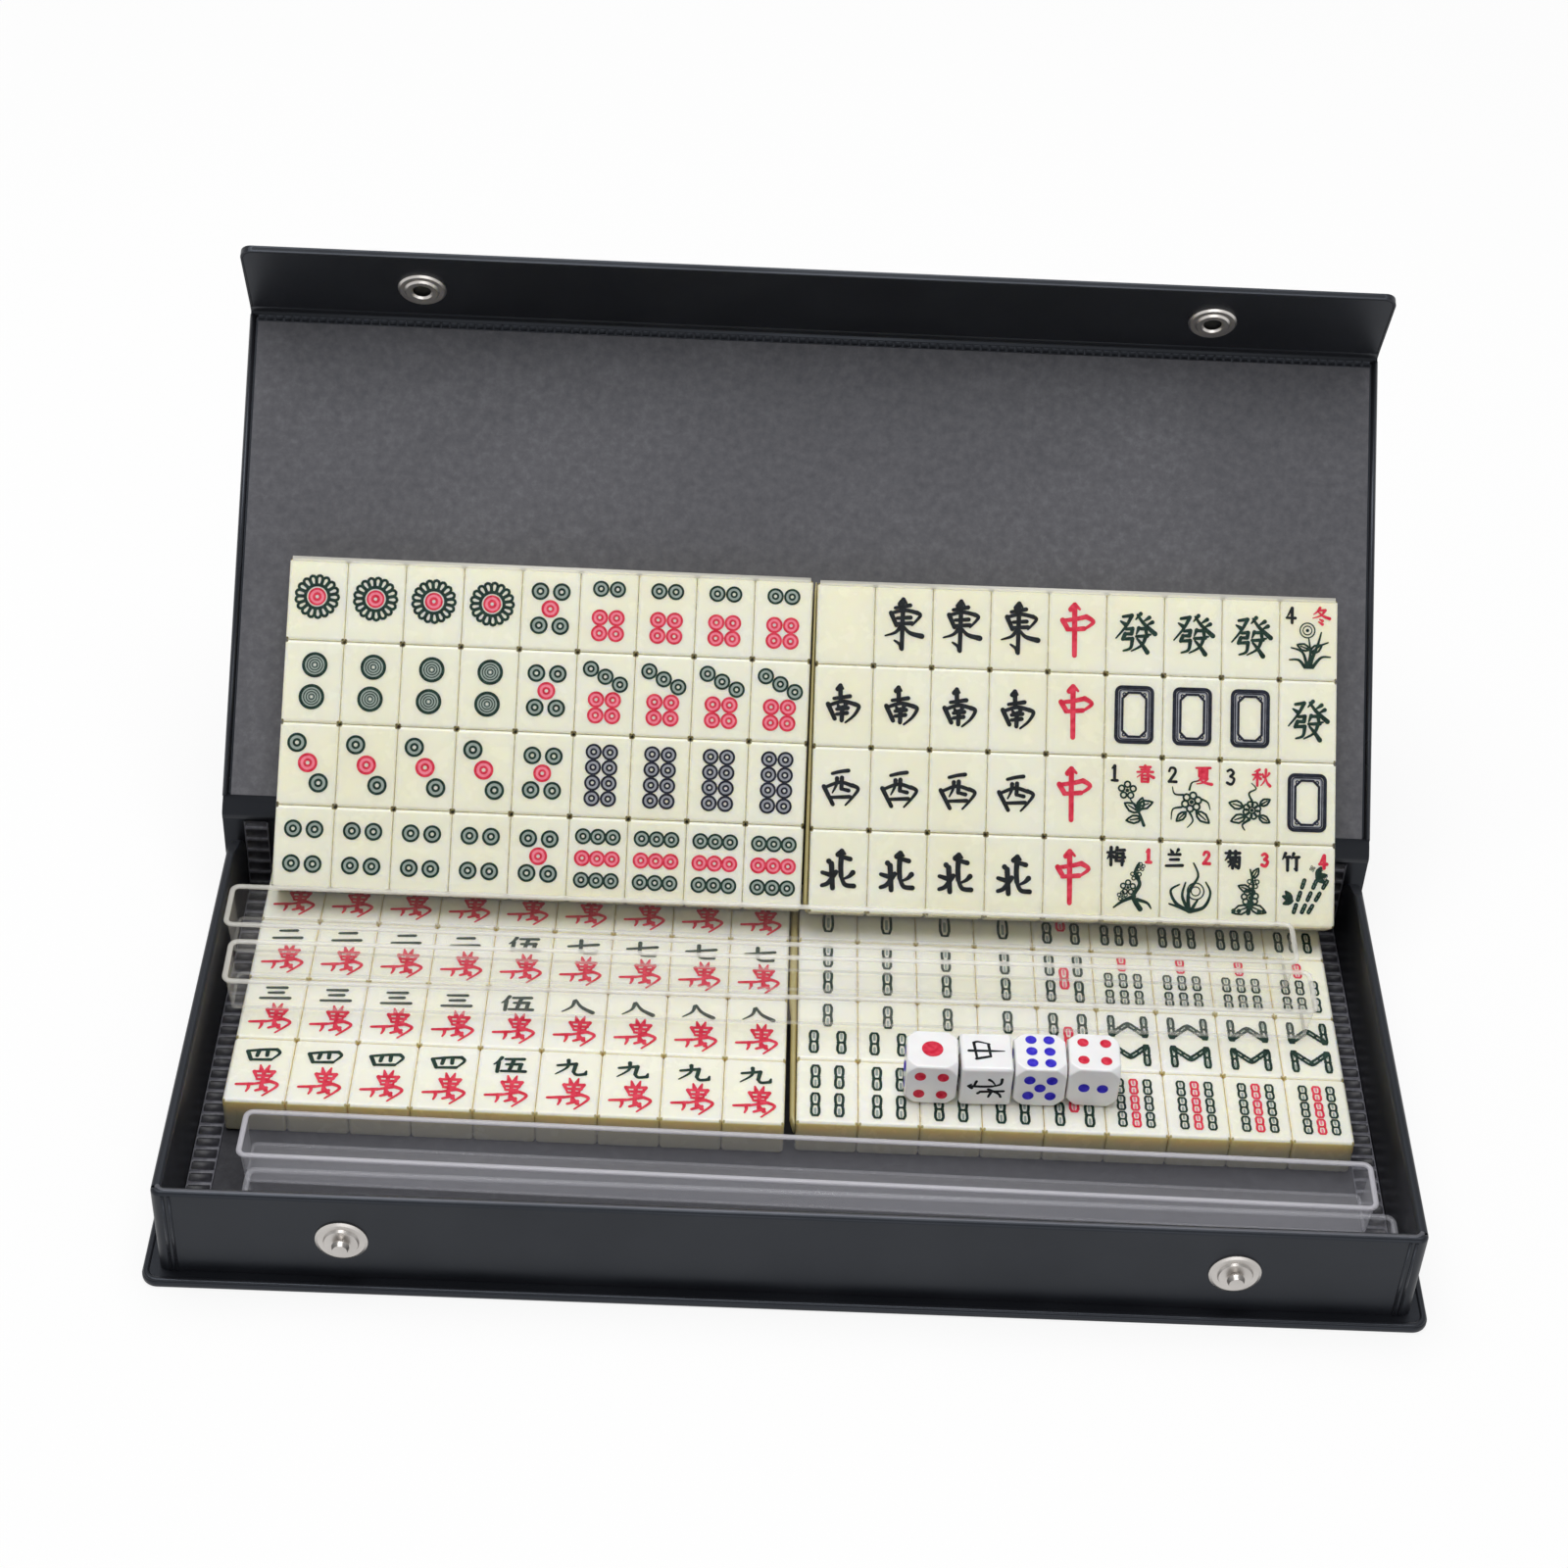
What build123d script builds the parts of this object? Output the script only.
from build123d import *
import os
from math import cos, radians, sin, tan

# Travel mahjong case: a covered-board tray with a lid and a snap flap, shown open, with four wrapped
# blocks of tiles, four clear racks and four dice. Millimetres. X runs along the case, +Y to its back,
# +Z up. The origin is the middle of the underside of the bottom panel.

# ---- tiles and the blocks they are wrapped in ----
tile_width = 15.0
tile_length = 21.33
tile_thickness = 10.5
tile_edge_radius = 0.9
tile_clearance = 0.04       # between neighbours inside one wrapped block
block_columns = 9
block_rows = 4
film_gap = 0.3              # shrink film under and around a block

# ---- racks and dice ----
rack_depth = 15.4
rack_height = 11.5
rack_wall = 1.4
rack_draft_deg = 4.0
rack_corner_radius = 1.8
die_size = 12.5
die_ball_share = 1.5        # a pip die's corners end on a ball, this many half sizes in radius
die_edge_radius = 0.6
wind_die_edge_radius = 0.9
pip_radius = 1.38
pip_depth = 0.4
lone_pip_radius = 2.6       # the single pip is larger and deeper
lone_pip_depth = 0.7

# ---- tray ----
block_gap = 2.8             # between the left and the right block
end_room = 7.1              # from a block's end to the side wall
rack_bay_play = 8.2         # spare depth in the bay that holds two racks
rear_room = 3.4             # from the blocks' back to the spine
wall_thickness = 2.5
wall_height = 26.5
wall_edge_radius = 1.0
wall_corner_radius = 2.2
wall_back_drop = 4.0        # the side walls slope down this far at the back
wall_back_slope = 14.0
panel_thickness = 2.0
panel_corner_radius = 4.0
front_overhang = 3.6
side_overhang = 4.0
liner_thickness = 2.2
liner_step = 1.0            # the liner's raised middle, level with the ribbed strips
spine_thickness = 2.5
spine_height = 27.3
cover_inset = 1.0           # the spine, lid and flap are this much shorter at each end than the panel

# ---- ribbed weld strips ----
strip_width = 6.5
strip_base = 0.5
rib_width = 1.3
rib_pitch = 3.8
rib_margin = 0.6
strip_top_drop = 1.0        # a strip on the spine ends this far under the wall's top

# ---- lid, flap and their living hinges ----
lid_length = 131.5
lid_thickness = 2.5
lining_thickness = 0.5
lining_border = 2.0
lid_tilt_deg = 46.8         # back from upright
hinge_rise = 1.2            # hinge line above the spine's top
hinge_skin = 0.7
lid_hinge_reach = 2.6
flap_length = 26.3
flap_thickness = 1.8
flap_lean_deg = 23.0        # forward from upright
flap_hinge_reach = 1.2
lid_fold_gap = 0.6          # the lid's board ends this far short of the flap's hinge line
flap_corner_radius = 3.0
lean_gap = 0.4              # between a leaning block and the lid's lining

# ---- press studs ----
snap_spacing = 206.0
stud_drop = 13.5            # stud centre below the wall's top
stud_flange_radius = 6.1
stud_flange_thickness = 0.7
stud_ring_radius = 4.2
stud_ring_thickness = 0.6
stud_head_radius = 2.1
stud_neck_radius = 1.7
stud_head_height = 2.2
shank_radius = 1.6
shank_clearance = 0.1
eyelet_radius = 4.0
eyelet_thickness = 0.7
socket_radius = 6.3
socket_thickness = 1.6
socket_ring_radius = 4.1
socket_step = 0.5
socket_clearance = 0.25
cap_radius = 6.3
cap_thickness = 1.2
cap_edge_radius = 0.6

# ---- where the loose things stand ----
lower_left_turn_deg = -0.4          # all turns are seen from above
lower_right_turn_deg = -0.13
upper_left_turn_deg = -0.21
upper_right_turn_deg = 0.55
blocks_shift = -0.3         # all four blocks, along the case
upper_left_shift = 3.0      # from the lower block's end
upper_right_shift = 2.0
bay_rack_wall_gap = 0.3     # front rack to the front wall, at its nearer end
bay_rack_gap = 1.2          # between the two racks in the bay, where they are closest
bay_front_turn_deg = -0.35
bay_back_turn_deg = -0.75
bay_front_shift = 7.4
bay_back_shift = 4.2
top_back_turn_deg = 0.23
top_front_turn_deg = 0.8
top_back_shift = -8.1
top_front_shift = -5.5
top_rack_block_gap = 2.0    # rear rack on the tiles to the foot of the leaning blocks
top_rack_gap = 3.4          # between the mouths of the two racks on the tiles, at their middles
dice_first_x = 33.4
dice_gap = 0.6
dice_rack_gap = 10.5        # behind the dice
dice_turns_deg = (-1.0, 1.5, 0.5, -1.2)
dice_steps = (0.0, 0.0, 0.5, 1.1)

# ---- worked out from the sizes above ----
block_length = block_columns * tile_width
block_depth = block_rows * tile_length
tray_inner_length = 2 * block_length + block_gap + 2 * end_room
rack_bay_depth = 2 * rack_depth + rack_bay_play
tray_inner_depth = rack_bay_depth + block_depth + rear_room
tray_length = tray_inner_length + 2 * wall_thickness
panel_length = tray_length + 2 * side_overhang
panel_depth = front_overhang + wall_thickness + tray_inner_depth + spine_thickness
cover_length = panel_length - 2 * cover_inset
rack_length = 2 * block_length

wall_front = -panel_depth / 2 + front_overhang
inner_front = wall_front + wall_thickness
spine_front = panel_depth / 2 - spine_thickness
floor_top = panel_thickness + liner_thickness + liner_step
wall_top = panel_thickness + wall_height
spine_top = panel_thickness + spine_height
hinge_y = spine_front + spine_thickness / 2
hinge_z = spine_top + hinge_rise
lid_tilt = radians(lid_tilt_deg)

lower_seat = floor_top + film_gap
upper_seat = lower_seat + tile_thickness + film_gap
lower_front = inner_front + rack_bay_depth
stud_z = wall_top - stud_drop
socket_reach = wall_top - stud_z      # from the fold of the closed lid to the stud
lean_y = hinge_y - (hinge_z - upper_seat) * tan(lid_tilt) - lean_gap / cos(lid_tilt)
lean_face_y = lean_y - tile_thickness * cos(lid_tilt)

os.makedirs("parts", exist_ok=True)


def save(name, part):
    """Labels a finished piece and writes it as its own STEP file."""
    part.label = name
    export_step(part, f"parts/{name}.step")


# ---- tray: panel, liner, walls, spine and ribbed strips ----
with BuildPart() as bottom_panel:
    with BuildSketch() as outline:
        RectangleRounded(panel_length, panel_depth, panel_corner_radius)
    extrude(amount=panel_thickness)
    fillet(bottom_panel.edges().group_by(Axis.Z)[-1], radius=panel_thickness * 0.4)
    fillet(bottom_panel.edges().group_by(Axis.Z)[0], radius=panel_thickness * 0.3)
save("bottom_panel", bottom_panel.part)

inner_mid_y = inner_front + tray_inner_depth / 2
with BuildPart() as floor_liner:
    with BuildSketch(Plane.XY.offset(panel_thickness)) as base:
        with Locations((0, inner_mid_y)):
            Rectangle(tray_inner_length, tray_inner_depth)
    extrude(amount=liner_thickness)
    with BuildSketch(Plane.XY.offset(panel_thickness + liner_thickness)) as middle:
        with Locations((0, inner_mid_y + strip_width / 2)):
            Rectangle(tray_inner_length - 2 * strip_width, tray_inner_depth - strip_width)
    extrude(amount=liner_step)
save("floor_liner", floor_liner.part)

with BuildPart() as front_wall:
    with BuildSketch(Plane.XY.offset(panel_thickness)) as footprint:
        with Locations((0, wall_front + wall_thickness / 2)):
            Rectangle(tray_length, wall_thickness)
    extrude(amount=wall_height)
    outer_corners = front_wall.edges().filter_by(Axis.Z).group_by(Axis.Y)[0]
    fillet(outer_corners, radius=wall_corner_radius)
    fillet(front_wall.edges().group_by(Axis.Z)[-1], radius=wall_edge_radius)
    with Locations(Plane((0, wall_front, stud_z), x_dir=(1, 0, 0), z_dir=(0, -1, 0))):
        with Locations((-snap_spacing / 2, 0), (snap_spacing / 2, 0)):
            Hole(shank_radius + shank_clearance)
    with Locations(Plane((0, inner_front, stud_z), x_dir=(1, 0, 0), z_dir=(0, 1, 0))):
        with Locations((-snap_spacing / 2, 0), (snap_spacing / 2, 0)):
            Hole(eyelet_radius + shank_clearance, depth=eyelet_thickness)
save("front_wall", front_wall.part)


def side_wall(name, outer_x):
    """One end wall: its top slopes down where it meets the spine. outer_x is its lower X face."""
    with BuildPart() as wall:
        with BuildSketch(Plane.YZ.offset(outer_x)) as side:
            with BuildLine() as rim:
                Polyline(
                    (inner_front, panel_thickness),
                    (spine_front, panel_thickness),
                    (spine_front, wall_top - wall_back_drop),
                    (spine_front - wall_back_slope, wall_top),
                    (inner_front, wall_top),
                    close=True,
                )
            make_face()
            slope_top = side.vertices().group_by(Axis.Y)[1]
            fillet(slope_top, radius=wall_back_slope)
        extrude(amount=wall_thickness)
        long_rim = wall.edges().filter_by(Axis.Y).group_by(Axis.Z)[-1]
        fillet(long_rim, radius=wall_edge_radius)
    save(name, wall.part)


side_wall("left_wall", -tray_length / 2)
side_wall("right_wall", tray_length / 2 - wall_thickness)

with BuildPart() as spine_panel:
    with BuildSketch(Plane.XY.offset(panel_thickness)) as footprint:
        with Locations((0, spine_front + spine_thickness / 2)):
            Rectangle(cover_length, spine_thickness)
    extrude(amount=spine_height)
    fillet(spine_panel.edges().filter_by(Axis.X).group_by(Axis.Z)[-1], radius=spine_thickness * 0.3)
save("spine_panel", spine_panel.part)

strip_z = panel_thickness + liner_thickness
rib_height = liner_step - strip_base
strip_top = wall_top - strip_top_drop
side_rib_count = int((tray_inner_depth - strip_width) // rib_pitch)
spine_rib_count = int((strip_top - floor_top - rib_margin) // rib_pitch)
front_rib_count = int((tray_inner_length - 2 * strip_width) // rib_pitch)

with BuildPart() as weld_strips:
    for side in (-1, 1):
        strip_x = side * (tray_inner_length - strip_width) / 2
        with BuildSketch(Plane.XY.offset(strip_z)) as floor_strip:
            with Locations((strip_x, inner_mid_y)):
                Rectangle(strip_width, tray_inner_depth)
        extrude(amount=strip_base)
        with BuildSketch(Plane.XY.offset(strip_z + strip_base)) as floor_ribs:
            with Locations((strip_x, inner_mid_y)):
                with GridLocations(strip_width, rib_pitch, 1, side_rib_count):
                    Rectangle(strip_width - 2 * rib_margin, rib_width)
        extrude(amount=rib_height)
        with BuildSketch(Plane.XZ.offset(-spine_front)) as spine_strip:
            with Locations((strip_x, (strip_z + strip_top) / 2)):
                Rectangle(strip_width, strip_top - strip_z)
        extrude(amount=strip_base)
        with BuildSketch(Plane.XZ.offset(-spine_front + strip_base)) as spine_ribs:
            with Locations((strip_x, (floor_top + strip_top) / 2)):
                with GridLocations(strip_width, rib_pitch, 1, spine_rib_count):
                    Rectangle(strip_width - 2 * rib_margin, rib_width)
        extrude(amount=rib_height)
    front_strip_y = inner_front + strip_width / 2
    front_strip_length = tray_inner_length - 2 * strip_width - 2 * shank_clearance
    with BuildSketch(Plane.XY.offset(strip_z)) as front_strip:
        with Locations((0, front_strip_y)):
            Rectangle(front_strip_length, strip_width)
    extrude(amount=strip_base)
    with BuildSketch(Plane.XY.offset(strip_z + strip_base)) as front_ribs:
        with Locations((0, front_strip_y)):
            with GridLocations(rib_pitch, strip_width, front_rib_count, 1):
                Rectangle(rib_width, strip_width - 2 * rib_margin)
    extrude(amount=rib_height)
save("weld_strips", weld_strips.part)

# ---- lid and flap, each drawn in the plane of its inner face, with its hinge line as local X ----
lid_plane = Plane(
    origin=(0, hinge_y, hinge_z),
    x_dir=(1, 0, 0),
    z_dir=(0, -cos(lid_tilt), sin(lid_tilt)),
)
flap_lean = radians(flap_lean_deg)
flap_plane = Plane(
    origin=(0, hinge_y + lid_length * sin(lid_tilt), hinge_z + lid_length * cos(lid_tilt)),
    x_dir=(1, 0, 0),
    z_dir=(0, -cos(flap_lean), -sin(flap_lean)),
)


def slab(plane, top, thickness, near, far, length):
    """A board under local height top, from near to far of the hinge line, and length along it."""
    with BuildPart() as board:
        with BuildSketch(plane.offset(top - thickness)):
            with Locations((0, (near + far) / 2)):
                Rectangle(length, far - near)
        extrude(amount=thickness)
    return board.part


lid_near = lid_hinge_reach
lid_far = lid_length - lid_fold_gap
with BuildPart() as lid_panel:
    add(slab(lid_plane, -lining_thickness, lid_thickness, lid_near, lid_far, cover_length))
    fillet(lid_panel.edges().filter_by(Axis.X), radius=lid_thickness * 0.25)
save("lid_panel", lid_panel.part)
save("lid_lining", slab(
    lid_plane, 0, lining_thickness, lid_near, lid_far - lining_border, cover_length - 2 * lining_border))


def living_hinge(name, plane, reach):
    """The cover skin that bends: a thin strip from just past the hinge line to the board's edge."""
    with BuildPart() as skin:
        add(slab(plane, 0, hinge_skin, -hinge_skin / 2, reach, cover_length))
        hinge_end = skin.edges().filter_by(Axis.X).sort_by(
            lambda edge: plane.to_local_coords(edge.center()).Y)[:2]
        fillet(hinge_end, radius=hinge_skin * 0.45)
    save(name, skin.part)


living_hinge("lid_hinge", lid_plane, lid_hinge_reach)
living_hinge("flap_hinge", flap_plane, flap_hinge_reach)

snap_places = ((-snap_spacing / 2, socket_reach), (snap_spacing / 2, socket_reach))
with BuildPart() as flap_panel:
    with BuildSketch(flap_plane.offset(-flap_thickness)) as flap_outline:
        with Locations((0, (flap_hinge_reach + flap_length) / 2)):
            Rectangle(cover_length, flap_length - flap_hinge_reach)
        fillet(flap_outline.vertices().group_by(Axis.Y)[-1], radius=flap_corner_radius)
    extrude(amount=flap_thickness)
    with Locations(flap_plane):
        with Locations(*snap_places):
            Hole(shank_radius + shank_clearance, depth=flap_thickness)
save("flap_panel", flap_panel.part)

# ---- press studs: a stud's axis is local Y of its profile, with the wall's outer face at zero ----
with BuildPart() as snap_stud:
    with BuildSketch() as stud_profile:
        with BuildLine():
            ring_top = stud_flange_thickness + stud_ring_thickness
            neck_top = ring_top + stud_head_height * 0.45
            head_top = ring_top + stud_head_height
            Polyline(
                (0, -wall_thickness),
                (eyelet_radius, -wall_thickness),
                (eyelet_radius, -wall_thickness + eyelet_thickness),
                (shank_radius, -wall_thickness + eyelet_thickness),
                (shank_radius, 0),
                (stud_flange_radius, 0),
                (stud_flange_radius, stud_flange_thickness * 0.5),
                (stud_flange_radius - stud_flange_thickness, stud_flange_thickness),
                (stud_ring_radius, stud_flange_thickness),
                (stud_ring_radius - stud_ring_thickness / 2, ring_top),
                (stud_neck_radius, ring_top),
                (stud_head_radius, neck_top),
                (stud_neck_radius, head_top),
                (0, head_top),
                close=True,
            )
        make_face()
    revolve(axis=Axis.Y)

with BuildPart() as snap_studs:
    with Locations(Plane((0, wall_front, stud_z), x_dir=(1, 0, 0), z_dir=(0, 0, -1))):
        with Locations((-snap_spacing / 2, 0), (snap_spacing / 2, 0)):
            add(snap_stud.part)
save("snap_studs", snap_studs.part)

# a socket's profile has the flap's inner face at zero; its bore takes the stud's head
bore_radius = stud_head_radius + socket_clearance
with BuildPart() as snap_socket:
    with BuildSketch() as socket_profile:
        with BuildLine():
            Polyline(
                (bore_radius, 0),
                (socket_radius, 0),
                (socket_radius, socket_thickness - 2 * socket_step),
                (socket_radius - socket_step, socket_thickness - socket_step),
                (socket_ring_radius + socket_step, socket_thickness - socket_step),
                (socket_ring_radius, socket_thickness),
                (bore_radius + socket_step, socket_thickness),
                (bore_radius, socket_thickness - socket_step),
                close=True,
            )
        make_face()
    revolve(axis=Axis.Y)

flap_snap_plane = Plane(flap_plane.origin, x_dir=(1, 0, 0), z_dir=-flap_plane.y_dir)
with BuildPart() as snap_sockets:
    with Locations(flap_snap_plane):
        with Locations(*[(x, 0, -reach) for x, reach in snap_places]):
            add(snap_socket.part)
save("snap_sockets", snap_sockets.part)

# a cap sits on the flap's outer face, and its shank runs through to the socket
with BuildPart() as snap_cap:
    with BuildSketch() as cap_profile:
        with BuildLine():
            cap_face = -flap_thickness
            Polyline(
                (0, 0),
                (shank_radius, 0),
                (shank_radius, cap_face),
                (cap_radius, cap_face),
                (cap_radius, cap_face - cap_thickness + cap_edge_radius),
                (cap_radius - cap_edge_radius, cap_face - cap_thickness),
                (0, cap_face - cap_thickness),
                close=True,
            )
        make_face()
    revolve(axis=Axis.Y)

with BuildPart() as snap_caps:
    with Locations(flap_snap_plane):
        with Locations(*[(x, 0, -reach) for x, reach in snap_places]):
            add(snap_cap.part)
save("snap_caps", snap_caps.part)

# ---- tiles: one blank, placed in each block's own plane by column and row ----
with BuildPart() as tile:
    Box(
        tile_width - tile_clearance,
        tile_length - tile_clearance,
        tile_thickness,
        align=(Align.CENTER, Align.CENTER, Align.MIN),
    )
    fillet(tile.edges(), radius=tile_edge_radius)


def turned(angle_deg):
    """The direction along a block or rack that is turned by this angle, seen from above."""
    return (cos(radians(angle_deg)), sin(radians(angle_deg)), 0)


def leaning_plane(x, turn_deg):
    """The back plane of a block whose foot stands on the lower tiles and whose back lies on the lid."""
    along = Vector(*turned(turn_deg))
    nearer_end = max(0, block_length * along.Y)
    up_slope = Vector(-along.Y * sin(lid_tilt), along.X * sin(lid_tilt), cos(lid_tilt))
    return Plane((x, lean_y - nearer_end, upper_seat), x_dir=along, z_dir=along.cross(up_slope))


left_x = blocks_shift - block_gap / 2 - block_length
right_x = blocks_shift + block_gap / 2
lower_left = Plane((left_x, lower_front, lower_seat), x_dir=turned(lower_left_turn_deg), z_dir=(0, 0, 1))
lower_right = Plane((right_x, lower_front, lower_seat), x_dir=turned(lower_right_turn_deg), z_dir=(0, 0, 1))
upper_left = leaning_plane(left_x + upper_left_shift, upper_left_turn_deg)
upper_right = leaning_plane(right_x + upper_right_shift, upper_right_turn_deg)


def tile_group(name, block, places):
    """The tiles of one face design, at (column, row) places from the block's near left corner."""
    with BuildPart() as group:
        with Locations(block):
            with Locations(*[
                ((column + 0.5) * tile_width, (row + 0.5) * tile_length) for column, row in places
            ]):
                add(tile.part)
    save(name, group.part)


def suit_places(rank):
    """A suit block: ranks 1 to 4 on the left, the fives up the middle column, 6 to 9 on the right."""
    if rank == 5:
        return [(4, row) for row in range(block_rows)]
    first = 0 if rank < 5 else 5
    row = (4 if rank < 5 else 9) - rank
    return [(first + step, row) for step in range(4)]


for rank in range(1, 10):
    tile_group(f"tiles_dots_{rank}", upper_left, suit_places(rank))
    tile_group(f"tiles_characters_{rank}", lower_left, suit_places(rank))
    tile_group(f"tiles_bamboos_{rank}", lower_right, suit_places(rank))

honour_places = {
    "tiles_blank": [(0, 3)],
    "tiles_wind_east": [(1, 3), (2, 3), (3, 3)],
    "tiles_wind_south": [(0, 2), (1, 2), (2, 2), (3, 2)],
    "tiles_wind_west": [(0, 1), (1, 1), (2, 1), (3, 1)],
    "tiles_wind_north": [(0, 0), (1, 0), (2, 0), (3, 0)],
    "tiles_dragon_red": [(4, 0), (4, 1), (4, 2), (4, 3)],
    "tiles_dragon_green": [(5, 3), (6, 3), (7, 3), (8, 2)],
    "tiles_dragon_white": [(5, 2), (6, 2), (7, 2), (8, 1)],
    "tiles_seasons": [(5, 1), (6, 1), (7, 1), (8, 3)],
    "tiles_flowers": [(5, 0), (6, 0), (7, 0), (8, 0)],
}
for name, places in honour_places.items():
    tile_group(name, upper_right, places)

# ---- racks: clear open troughs, wider at the mouth than at the foot ----
rack_taper = rack_height * tan(radians(rack_draft_deg))


def rack(name, x, y, seat, turn_deg):
    """One trough, centred on x, y and standing on seat."""
    foot = Plane((x, y, seat), x_dir=turned(turn_deg), z_dir=(0, 0, 1))
    with BuildPart() as trough:
        with BuildSketch(foot.offset(rack_height)) as mouth:
            RectangleRounded(rack_length, rack_depth, rack_corner_radius)
        extrude(amount=-rack_height, taper=rack_draft_deg)
        with BuildSketch(foot.offset(rack_height)) as hollow:
            RectangleRounded(
                rack_length - 2 * rack_wall,
                rack_depth - 2 * rack_wall,
                rack_corner_radius - rack_wall * 0.5,
            )
        extrude(amount=-(rack_height - rack_wall), taper=rack_draft_deg, mode=Mode.SUBTRACT)
    save(name, trough.part)


half_swing = rack_length / 2
bay_front_y = (inner_front + bay_rack_wall_gap + rack_depth / 2
               + half_swing * abs(sin(radians(bay_front_turn_deg))))
bay_back_y = (bay_front_y + rack_depth + bay_rack_gap
              + half_swing * abs(sin(radians(bay_back_turn_deg - bay_front_turn_deg))))
top_back_y = (lean_face_y - block_length * sin(radians(upper_right_turn_deg))
              - top_rack_block_gap + rack_taper - rack_depth / 2)
top_front_y = top_back_y - rack_depth - top_rack_gap
rack("rack_bay_front", bay_front_shift, bay_front_y, lower_seat, bay_front_turn_deg)
rack("rack_bay_back", bay_back_shift, bay_back_y, lower_seat, bay_back_turn_deg)
rack("rack_top_back", top_back_shift, top_back_y, upper_seat, top_back_turn_deg)
rack("rack_top_front", top_front_shift, top_front_y, upper_seat, top_front_turn_deg)

# ---- dice, in a row on the lower right block ----
# where a face's pips stand, as shares of the die's size from the face's middle
pip_shares = {
    1: [(0, 0)],
    2: [(-0.18, 0), (0.18, 0)],
    3: [(-0.21, 0.21), (0, 0), (0.21, -0.21)],
    4: [(x, y) for x in (-0.22, 0.22) for y in (-0.235, 0.235)],
    5: [(0, 0)] + [(x, y) for x in (-0.215, 0.215) for y in (-0.21, 0.21)],
    6: [(x, y) for x in (-0.175, 0.175) for y in (-0.31, 0, 0.31)],
}
# three of a die's faces, as their outward direction and the direction across them, and their pips;
# the opposite faces make each pair up to seven
die_faces = (((0, 0, 1), (1, 0, 0)), ((0, -1, 0), (1, 0, 0)), ((1, 0, 0), (0, 1, 0)))
pip_count = {"die_one": (1, 4, 2), "die_six": (6, 5, 4), "die_four": (4, 2, 6)}


def carve_pips(place, count):
    """Ball-shaped hollows in the face that place lies in."""
    radius, depth = (lone_pip_radius, lone_pip_depth) if count == 1 else (pip_radius, pip_depth)
    ball = (radius ** 2 + depth ** 2) / (2 * depth)
    with Locations(place.offset(ball - depth)):
        with Locations(*[(x * die_size, y * die_size) for x, y in pip_shares[count]]):
            Sphere(ball, mode=Mode.SUBTRACT)


def pip_die(counts):
    """A cube whose corners end on a ball, with pips on all six faces: counts are those of die_faces."""
    half = die_size / 2
    with BuildPart() as die:
        Box(die_size, die_size, die_size)
        Sphere(half * die_ball_share, mode=Mode.INTERSECT)
        fillet(die.edges(), radius=die_edge_radius)
        for count, (direction, across) in zip(counts, die_faces):
            for side, pips in ((1, count), (-1, 7 - count)):
                outward = [side * value for value in direction]
                carve_pips(Plane([half * value for value in outward], x_dir=across, z_dir=outward), pips)
    return die.part


def wind_die():
    with BuildPart() as die:
        Box(die_size, die_size, die_size)
        fillet(die.edges(), radius=wind_die_edge_radius)
    return die.part


dice_names = ("die_one", "die_winds", "die_six", "die_four")
dice_y = top_front_y - rack_depth / 2 - dice_rack_gap - die_size / 2
for index, name in enumerate(dice_names):
    middle = (
        dice_first_x + index * (die_size + dice_gap),
        dice_y + dice_steps[index],
        upper_seat + die_size / 2,
    )
    with BuildPart() as placed_die:
        with Locations(Plane(middle, x_dir=turned(dice_turns_deg[index]), z_dir=(0, 0, 1))):
            add(pip_die(pip_count[name]) if name in pip_count else wind_die())
    save(name, placed_die.part)
